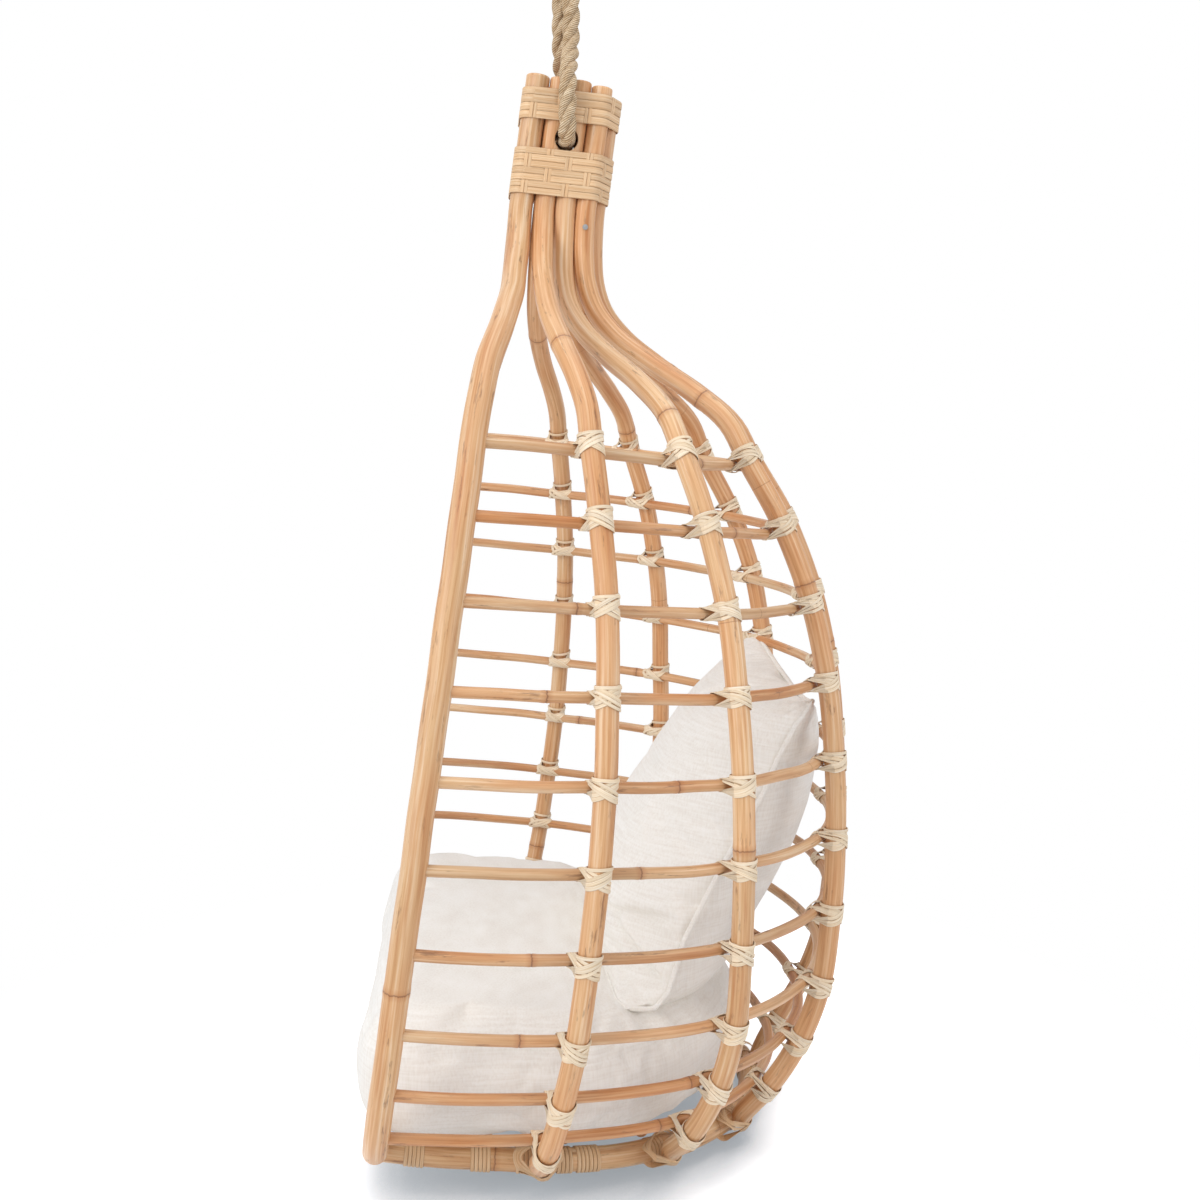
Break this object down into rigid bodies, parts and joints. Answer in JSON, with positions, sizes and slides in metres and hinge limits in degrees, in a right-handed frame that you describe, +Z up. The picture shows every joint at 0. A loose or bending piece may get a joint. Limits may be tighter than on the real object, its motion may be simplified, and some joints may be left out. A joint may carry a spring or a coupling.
{
  "type": "hanging_egg_chair",
  "caption": "Hanging egg chair of bent rattan poles lashed with cane, with a thick seat cushion and a piped back pillow, hung by a rope from a swivel.",
  "frame": {"origin": "centre of the eye bore at the top of the swivel, by which the whole chair hangs", "axes": "+Z up; -Y is the open front of the chair, +Y its back; +X is the sitter's left"},
  "size_m": [0.8432, 0.6228, 1.6146],
  "materials": {
    "rattan": "satin clear varnish",
    "rattan_thin": "satin clear varnish",
    "cane": "satin",
    "cushion_fabric": "matt woven cotton",
    "rope_fibre": "rough natural fibre",
    "twine": "rough natural fibre",
    "galvanised": "zinc plated",
    "bearing_steel": "ground"
  },
  "bodies": {
    "hook_side": {"swivel_body": "galvanised", "swivel_cap": "galvanised", "swivel_thrust_bearing": "bearing_steel"},
    "swivel": {"swivel_lower_eye": "galvanised", "swivel_stem_nut": "galvanised"},
    "ring": {"hanging_ring": "galvanised"},
    "chair": {"front_hoop": "rattan", "rib_left_1": "rattan", "rib_left_2": "rattan", "rib_left_3": "rattan", "rib_right_1": "rattan", "rib_right_2": "rattan", "rib_right_3": "rattan", "back_rib": "rattan", "cross_hoop_01": "rattan_thin", "cross_hoop_02": "rattan_thin", "cross_hoop_03": "rattan_thin", "cross_hoop_04": "rattan_thin", "cross_hoop_05": "rattan_thin", "cross_hoop_06": "rattan_thin", "cross_hoop_07": "rattan_thin", "cross_hoop_08": "rattan_thin", "cross_hoop_09": "rattan_thin", "cross_hoop_10": "rattan_thin", "base_hoop": "rattan", "seat_slat_1": "rattan", "seat_slat_2": "rattan", "seat_slat_3": "rattan", "seat_slat_4": "rattan", "seat_slat_5": "rattan", "head_core_front": "rattan", "head_core_middle_lower": "rattan", "head_core_middle_upper": "rattan", "head_core_back": "rattan", "head_band_lower": "cane", "head_band_upper": "cane", "head_nails": "galvanised", "lashings_left_1": "cane", "lashings_left_2": "cane", "lashings_left_3": "cane", "lashings_right_1": "cane", "lashings_right_2": "cane", "lashings_right_3": "cane", "lashings_back": "cane", "base_lashings": "cane", "seat_cushion": "cushion_fabric", "back_pillow": "cushion_fabric", "hanging_rope": "rope_fibre", "rope_seizing": "twine", "rope_thimble": "galvanised"}
  },
  "joints": [
    {"name": "swivel_spin", "type": "hinge", "parent": "hook_side", "child": "swivel", "pos_m": [0, 0, -0.05], "axis": [0, 0, 1], "continuous": true},
    {"name": "fore_aft_swing", "type": "hinge", "parent": "swivel", "child": "ring", "pos_m": [0, 0, -0.095], "axis": [1, 0, 0], "range_deg": [-25, 25]},
    {"name": "side_swing", "type": "hinge", "parent": "ring", "child": "chair", "pos_m": [0, 0, -0.1407], "axis": [0, 1, 0], "range_deg": [-20, 20]}
  ]
}
